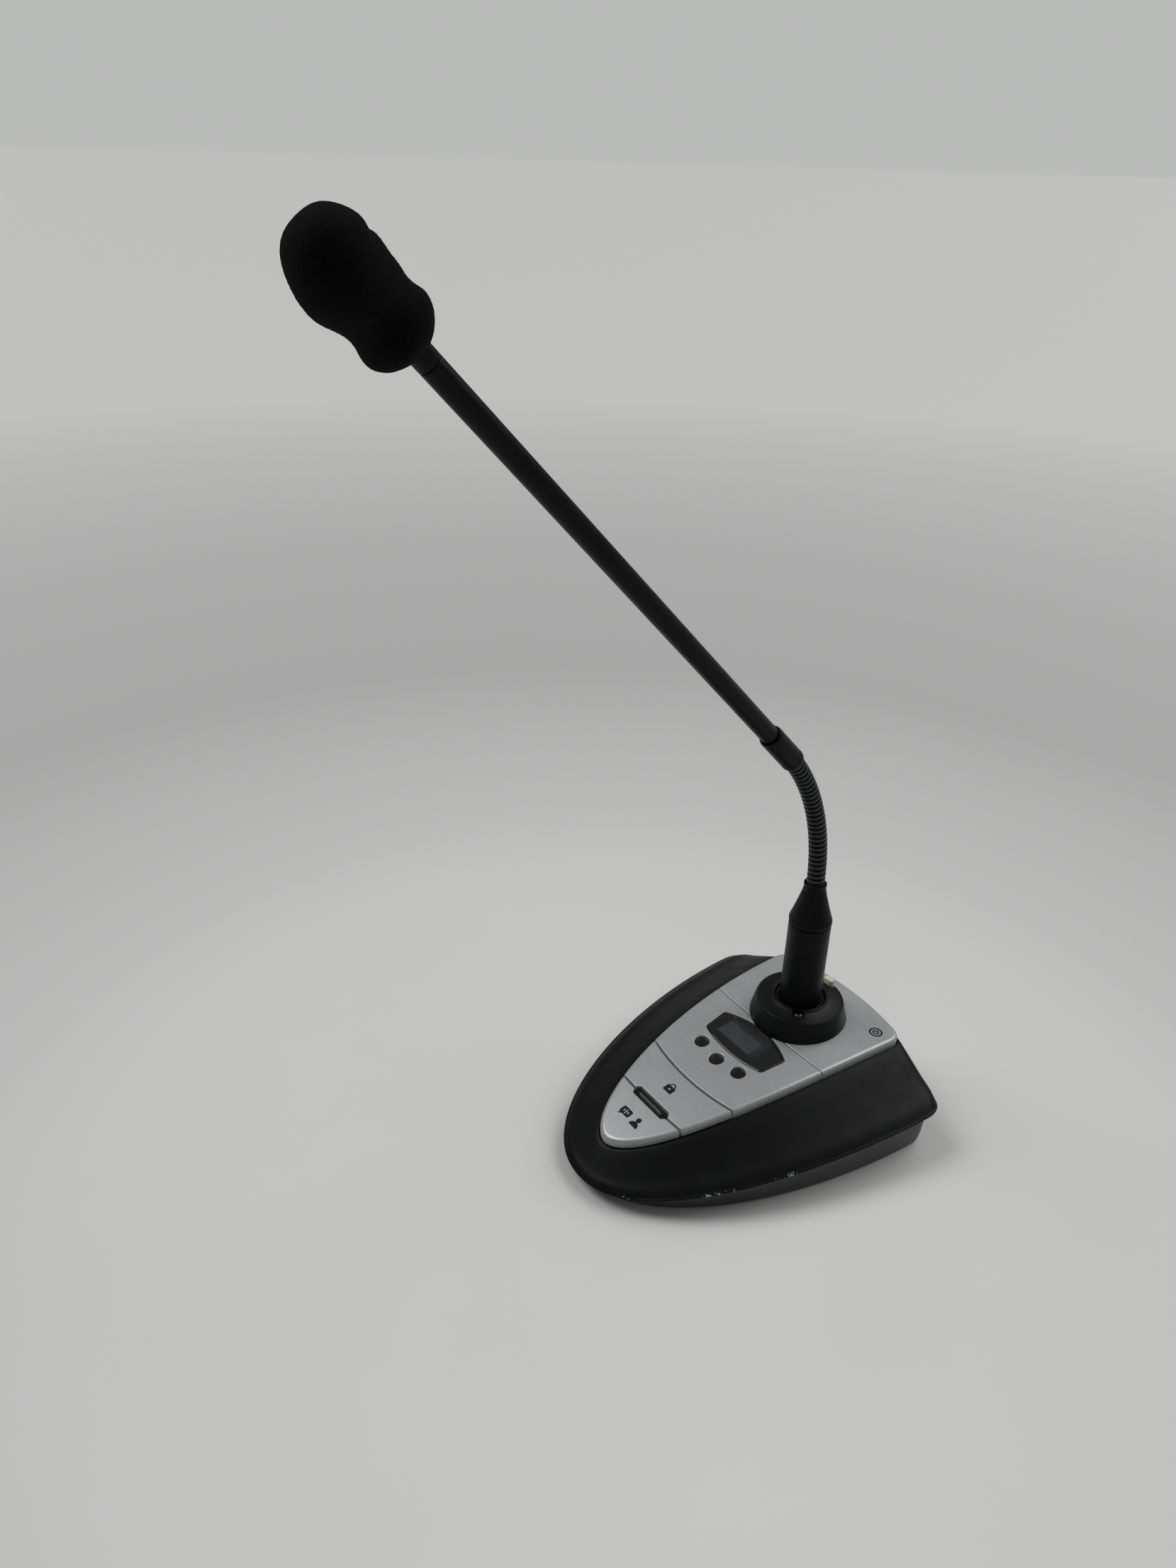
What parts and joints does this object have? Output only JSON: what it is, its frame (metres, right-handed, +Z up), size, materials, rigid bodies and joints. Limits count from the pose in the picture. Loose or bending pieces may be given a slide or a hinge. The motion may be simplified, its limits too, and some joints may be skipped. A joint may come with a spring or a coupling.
{
  "type": "gooseneck podium microphone",
  "caption": "Wedge-shaped podium microphone station with silver keyed deck, display, socket cone and plug-in gooseneck microphone with a foam windscreen.",
  "frame": {"origin": "on the table under the middle of the whole microphone's box", "axes": "+Z up from the table, -Y towards the talker (the nose and the windscreen), +X the talker's right"},
  "size_m": [0.1382, 0.2518, 0.3786],
  "materials": {
    "black_plastic": "fine-textured satin black moulding",
    "silver_paint": "satin metallic silver paint",
    "soft_black": "matte black",
    "smoked_plastic": "dark smoked, semi-gloss",
    "gloss_black": "high gloss black",
    "lcd_glass": "unlit grey-green display",
    "button_rubber": "matte black",
    "black_metal": "satin black paint",
    "flex_metal": "satin black coil",
    "gold_contacts": "gold-plated",
    "bright_screws": "bright plated",
    "cream_plastic": "cream moulding",
    "circuit_board": "green solder mask",
    "steel": "zinc-plated",
    "battery_wrap": "printed film wrap without print",
    "foot_rubber": "matte rubber",
    "foam": "black acoustic foam"
  },
  "bodies": {
    "base": {"bottom_housing": "black_plastic", "upper_housing": "black_plastic", "battery_door": "black_plastic", "socket_cone": "black_plastic", "rear_plate": "silver_paint", "display_plate": "silver_paint", "led_holder": "soft_black", "led_light_bar": "smoked_plastic", "lcd_window": "gloss_black", "lcd_module": "lcd_glass", "socket_body": "black_metal", "socket_insert": "soft_black", "socket_contacts": "gold_contacts", "socket_screw_1": "bright_screws", "socket_screw_2": "bright_screws", "key_board": "circuit_board", "main_board": "circuit_board", "socket_wires": "soft_black", "board_cable": "cream_plastic", "ballast_plate": "steel", "battery_pack": "battery_wrap", "antenna": "gold_contacts", "dc_jack": "soft_black", "power_switch_body": "soft_black", "battery_door_screw": "steel", "rubber_foot_1": "foot_rubber", "housing_screw_1": "steel", "rubber_foot_2": "foot_rubber", "housing_screw_2": "steel", "rubber_foot_3": "foot_rubber", "housing_screw_3": "steel", "rubber_foot_4": "foot_rubber", "housing_screw_4": "steel"},
    "talk_key": {"talk_key": "silver_paint"},
    "lock_key": {"lock_key": "silver_paint"},
    "set_button_left": {"set_button_left": "button_rubber"},
    "set_button_middle": {"set_button_middle": "button_rubber"},
    "set_button_right": {"set_button_right": "button_rubber"},
    "release_tab": {"release_tab": "cream_plastic"},
    "power_switch": {"power_switch_knob": "soft_black"},
    "plug": {"plug_barrel": "black_metal", "plug_boot": "soft_black", "plug_insert": "soft_black", "plug_pins": "gold_contacts"},
    "link_1": {"flex_link_1": "flex_metal"},
    "link_2": {"flex_link_2": "flex_metal"},
    "link_3": {"flex_link_3": "flex_metal"},
    "link_4": {"flex_link_4": "flex_metal"},
    "link_5": {"flex_link_5": "flex_metal"},
    "link_6": {"flex_link_6": "flex_metal"},
    "link_7": {"flex_link_7": "flex_metal"},
    "link_8": {"flex_link_8": "flex_metal"},
    "head": {"stem_collar": "black_metal", "stem_tube": "black_metal", "stem_cable": "soft_black", "capsule_housing": "black_metal", "mic_capsule": "bright_screws", "capsule_grille": "black_metal"},
    "windscreen": {"windscreen": "foam"}
  },
  "joints": [
    {"name": "talk_key_press", "type": "slide", "parent": "base", "child": "talk_key", "axis": [0, 0, -1], "range_m": [0, 0.0015], "stiffness_N_per_m": 900, "springref_m": -0.0004},
    {"name": "lock_key_press", "type": "slide", "parent": "base", "child": "lock_key", "axis": [0, 0, -1], "range_m": [0, 0.0015], "stiffness_N_per_m": 900, "springref_m": -0.0004},
    {"name": "set_button_left_press", "type": "slide", "parent": "base", "child": "set_button_left", "axis": [0, 0, -1], "range_m": [0, 0.0008], "stiffness_N_per_m": 1500, "springref_m": -0.0003},
    {"name": "set_button_middle_press", "type": "slide", "parent": "base", "child": "set_button_middle", "axis": [0, 0, -1], "range_m": [0, 0.0008], "stiffness_N_per_m": 1500, "springref_m": -0.0003},
    {"name": "set_button_right_press", "type": "slide", "parent": "base", "child": "set_button_right", "axis": [0, 0, -1], "range_m": [0, 0.0008], "stiffness_N_per_m": 1500, "springref_m": -0.0003},
    {"name": "release_tab_press", "type": "slide", "parent": "base", "child": "release_tab", "axis": [0, 0, -1], "range_m": [0, 0.0015], "stiffness_N_per_m": 800, "springref_m": -0.0005},
    {"name": "power_switch_slide", "type": "slide", "parent": "base", "child": "power_switch", "axis": [1, 0, 0], "range_m": [0, 0.0035]},
    {"name": "plug_pull_out", "type": "slide", "parent": "base", "child": "plug", "axis": [0, 0, 1], "range_m": [0, 0.03]},
    {"name": "flex_fore_aft_1", "type": "hinge", "parent": "plug", "child": "link_1", "pos_m": [0, 0.0916, 0.112], "axis": [1, 0, 0], "range_deg": [-15, 12]},
    {"name": "flex_side_1", "type": "hinge", "parent": "link_1", "child": "link_2", "pos_m": [0, 0.09116, 0.12084], "axis": [0, 0.9965, 0.0831], "range_deg": [-9, 9]},
    {"name": "flex_fore_aft_2", "type": "hinge", "parent": "link_2", "child": "link_3", "pos_m": [0, 0.09013, 0.12963], "axis": [1, 0, 0], "range_deg": [-15, 12]},
    {"name": "flex_side_2", "type": "hinge", "parent": "link_3", "child": "link_4", "pos_m": [0, 0.08842, 0.13831], "axis": [0, 0.9721, 0.2344], "range_deg": [-9, 9]},
    {"name": "flex_fore_aft_3", "type": "hinge", "parent": "link_4", "child": "link_5", "pos_m": [0, 0.08599, 0.14682], "axis": [1, 0, 0], "range_deg": [-15, 12]},
    {"name": "flex_side_3", "type": "hinge", "parent": "link_5", "child": "link_6", "pos_m": [0, 0.0828, 0.15508], "axis": [0, 0.9149, 0.4036], "range_deg": [-9, 9]},
    {"name": "flex_fore_aft_4", "type": "hinge", "parent": "link_6", "child": "link_7", "pos_m": [0, 0.07885, 0.163], "axis": [1, 0, 0], "range_deg": [-15, 12]},
    {"name": "flex_side_4", "type": "hinge", "parent": "link_7", "child": "link_8", "pos_m": [0, 0.07414, 0.17049], "axis": [0, 0.8186, 0.5744], "range_deg": [-9, 9]},
    {"name": "flex_fore_aft_5", "type": "hinge", "parent": "link_8", "child": "head", "pos_m": [0, 0.0687, 0.17747], "axis": [1, 0, 0], "range_deg": [-15, 12]},
    {"name": "windscreen_pull_off", "type": "slide", "parent": "head", "child": "windscreen", "axis": [0, -0.6947, 0.7193], "range_m": [0, 0.036]}
  ]
}
